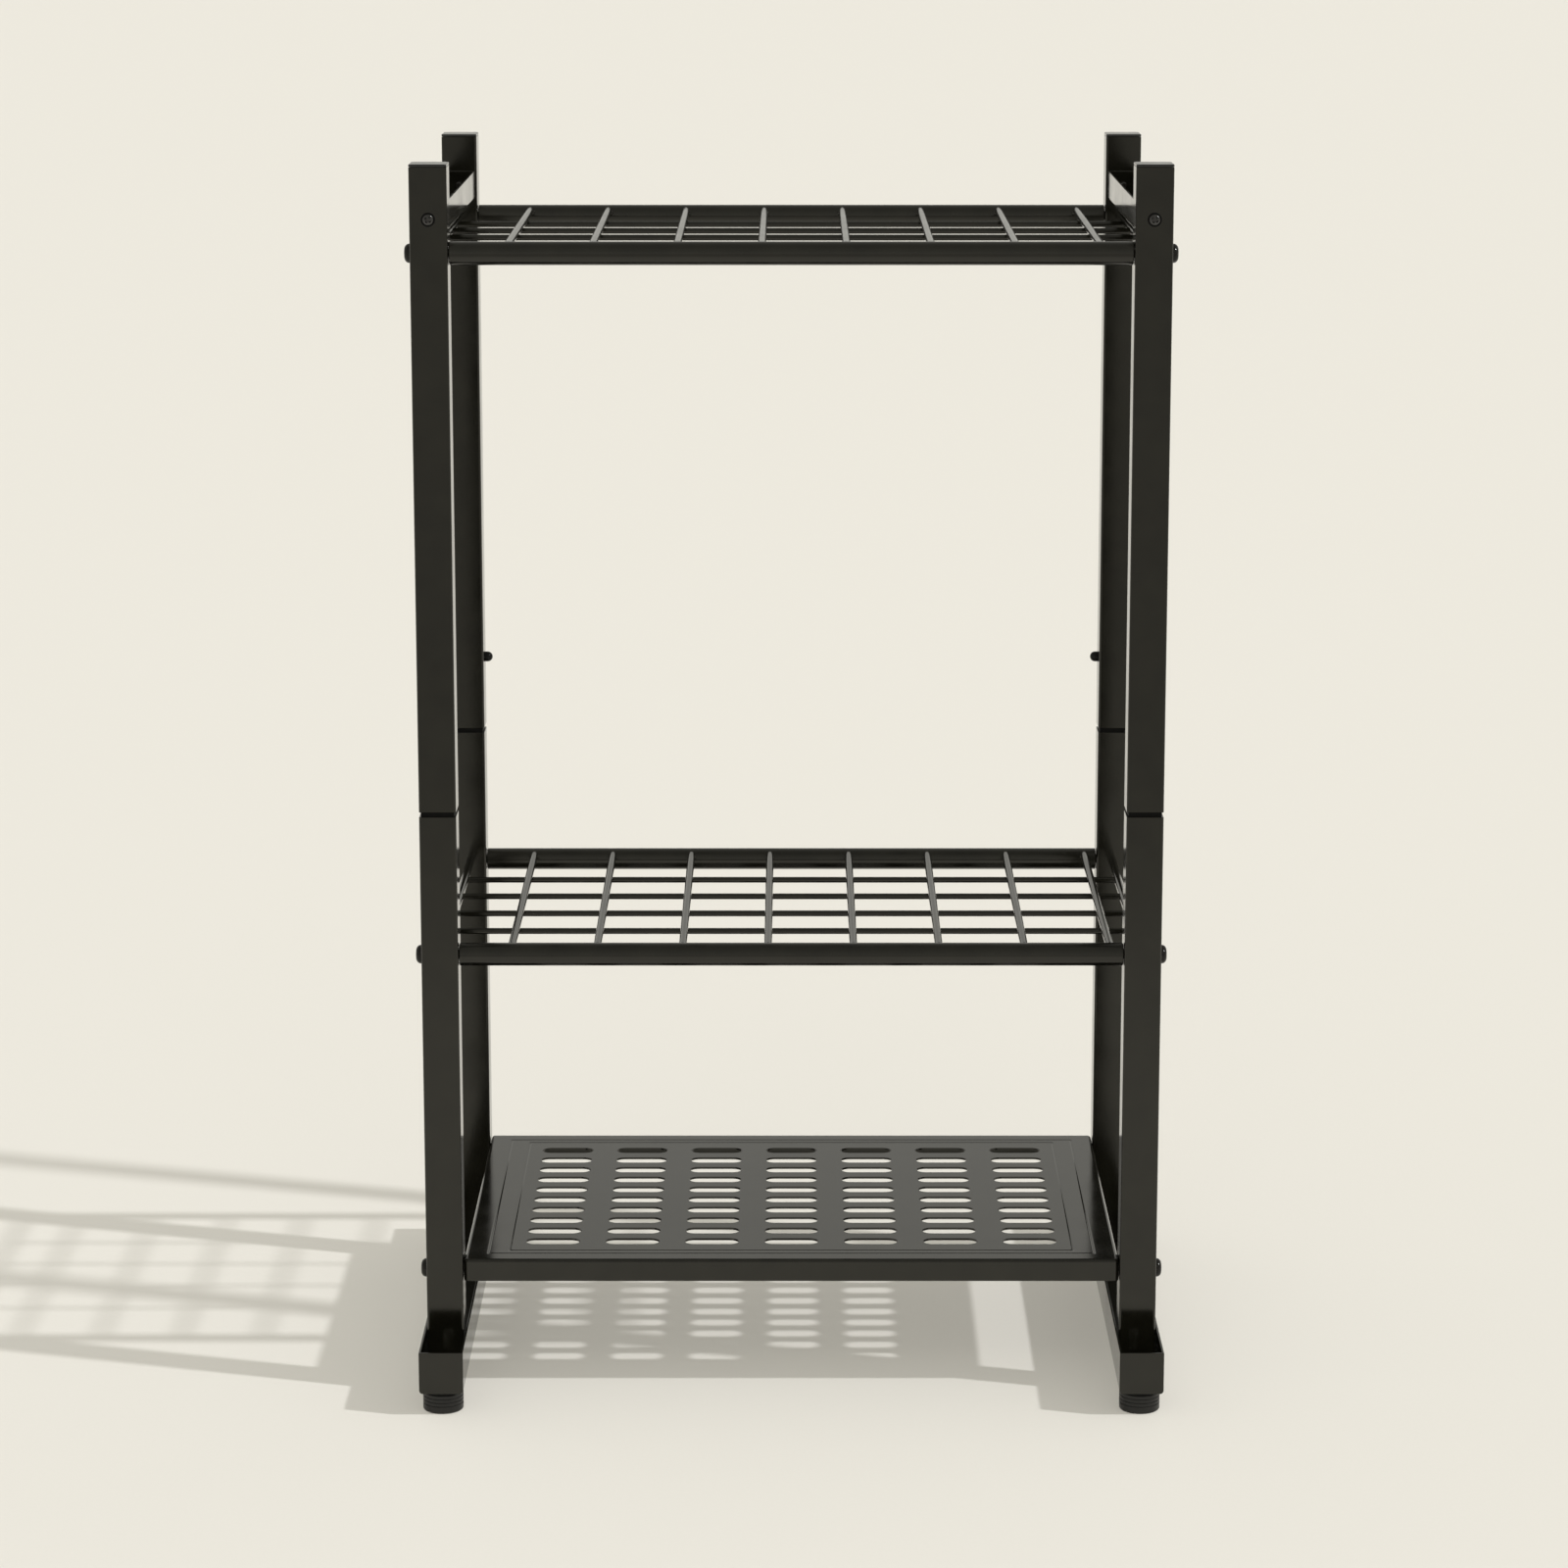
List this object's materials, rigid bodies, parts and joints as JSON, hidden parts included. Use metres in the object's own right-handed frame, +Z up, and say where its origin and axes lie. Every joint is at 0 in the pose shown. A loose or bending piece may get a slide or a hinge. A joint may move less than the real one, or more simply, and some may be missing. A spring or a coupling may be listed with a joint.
{
  "type": "tiered shoe rack",
  "caption": "Free-standing tiered shoe rack in gloss black steel: wire shelves over a slotted plate, square posts, channel base rails and levelling feet.",
  "frame": {"origin": "on the floor, at the centre of the rack's box, midway between the four feet", "axes": "+Z up the posts, +X to the right along the shelves seen from the front, +Y to the rear; the front faces -Y"},
  "size_m": [0.5086, 0.414, 0.842],
  "materials": {
    "gloss_paint": "smooth black powder coat, high gloss",
    "black_plastic": "moulded black polypropylene, satin",
    "black_steel": "black zinc plated steel fastener",
    "zinc_steel": "zinc plated steel",
    "spring_steel": "hardened spring strip"
  },
  "bodies": {
    "rack": {"base_bolt_front_left": "black_steel", "base_bolt_front_right": "black_steel", "base_bolt_rear_left": "black_steel", "base_bolt_rear_right": "black_steel", "base_rail_left": "gloss_paint", "base_rail_right": "gloss_paint", "bottom_shelf_bolt_front_left": "black_steel", "bottom_shelf_bolt_front_right": "black_steel", "bottom_shelf_bolt_rear_left": "black_steel", "bottom_shelf_bolt_rear_right": "black_steel", "bottom_shelf_plate": "gloss_paint", "button_spring_left": "spring_steel", "button_spring_right": "spring_steel", "lower_post_front_left": "gloss_paint", "lower_post_front_right": "gloss_paint", "lower_post_rear_left": "gloss_paint", "lower_post_rear_right": "gloss_paint", "middle_shelf_bolt_front_left": "black_steel", "middle_shelf_bolt_front_right": "black_steel", "middle_shelf_bolt_rear_left": "black_steel", "middle_shelf_bolt_rear_right": "black_steel", "middle_shelf_grid": "gloss_paint", "middle_shelf_tube_front": "gloss_paint", "middle_shelf_tube_rear": "gloss_paint", "post_cap_front_left": "black_plastic", "post_cap_front_right": "black_plastic", "post_cap_rear_left": "black_plastic", "post_cap_rear_right": "black_plastic", "post_connector_front_left": "black_plastic", "post_connector_front_right": "black_plastic", "post_connector_rear_left": "black_plastic", "post_connector_rear_right": "black_plastic", "rail_screw_front_left": "black_steel", "rail_screw_front_right": "black_steel", "rail_screw_rear_left": "black_steel", "rail_screw_rear_right": "black_steel", "top_rail_left": "gloss_paint", "top_rail_right": "gloss_paint", "top_shelf_bolt_front_left": "black_steel", "top_shelf_bolt_front_right": "black_steel", "top_shelf_bolt_rear_left": "black_steel", "top_shelf_bolt_rear_right": "black_steel", "top_shelf_grid": "gloss_paint", "top_shelf_tube_front": "gloss_paint", "top_shelf_tube_rear": "gloss_paint", "upper_post_front_left": "gloss_paint", "upper_post_front_right": "gloss_paint", "upper_post_rear_left": "gloss_paint", "upper_post_rear_right": "gloss_paint"},
    "foot_front_left": {"foot_pad_front_left": "black_plastic", "foot_stud_front_left": "zinc_steel"},
    "foot_front_right": {"foot_pad_front_right": "black_plastic", "foot_stud_front_right": "zinc_steel"},
    "foot_rear_left": {"foot_pad_rear_left": "black_plastic", "foot_stud_rear_left": "zinc_steel"},
    "foot_rear_right": {"foot_pad_rear_right": "black_plastic", "foot_stud_rear_right": "zinc_steel"},
    "button_left": {"snap_button_left": "black_plastic"},
    "button_right": {"snap_button_right": "black_plastic"}
  },
  "joints": [
    {"name": "foot_height_front_left", "type": "slide", "parent": "rack", "child": "foot_front_left", "axis": [0, 0, -1], "range_m": [0, 0.008]},
    {"name": "foot_height_front_right", "type": "slide", "parent": "rack", "child": "foot_front_right", "axis": [0, 0, -1], "range_m": [0, 0.008]},
    {"name": "foot_height_rear_left", "type": "slide", "parent": "rack", "child": "foot_rear_left", "axis": [0, 0, -1], "range_m": [0, 0.008]},
    {"name": "foot_height_rear_right", "type": "slide", "parent": "rack", "child": "foot_rear_right", "axis": [0, 0, -1], "range_m": [0, 0.008]},
    {"name": "snap_button_press_left", "type": "slide", "parent": "rack", "child": "button_left", "axis": [-1, 0, 0], "range_m": [0, 0.0075], "stiffness_N_per_m": 1200, "springref_m": -0.004, "deforming": ["button_spring_left"]},
    {"name": "snap_button_press_right", "type": "slide", "parent": "rack", "child": "button_right", "axis": [1, 0, 0], "range_m": [0, 0.0075], "stiffness_N_per_m": 1200, "springref_m": -0.004, "deforming": ["button_spring_right"]}
  ]
}
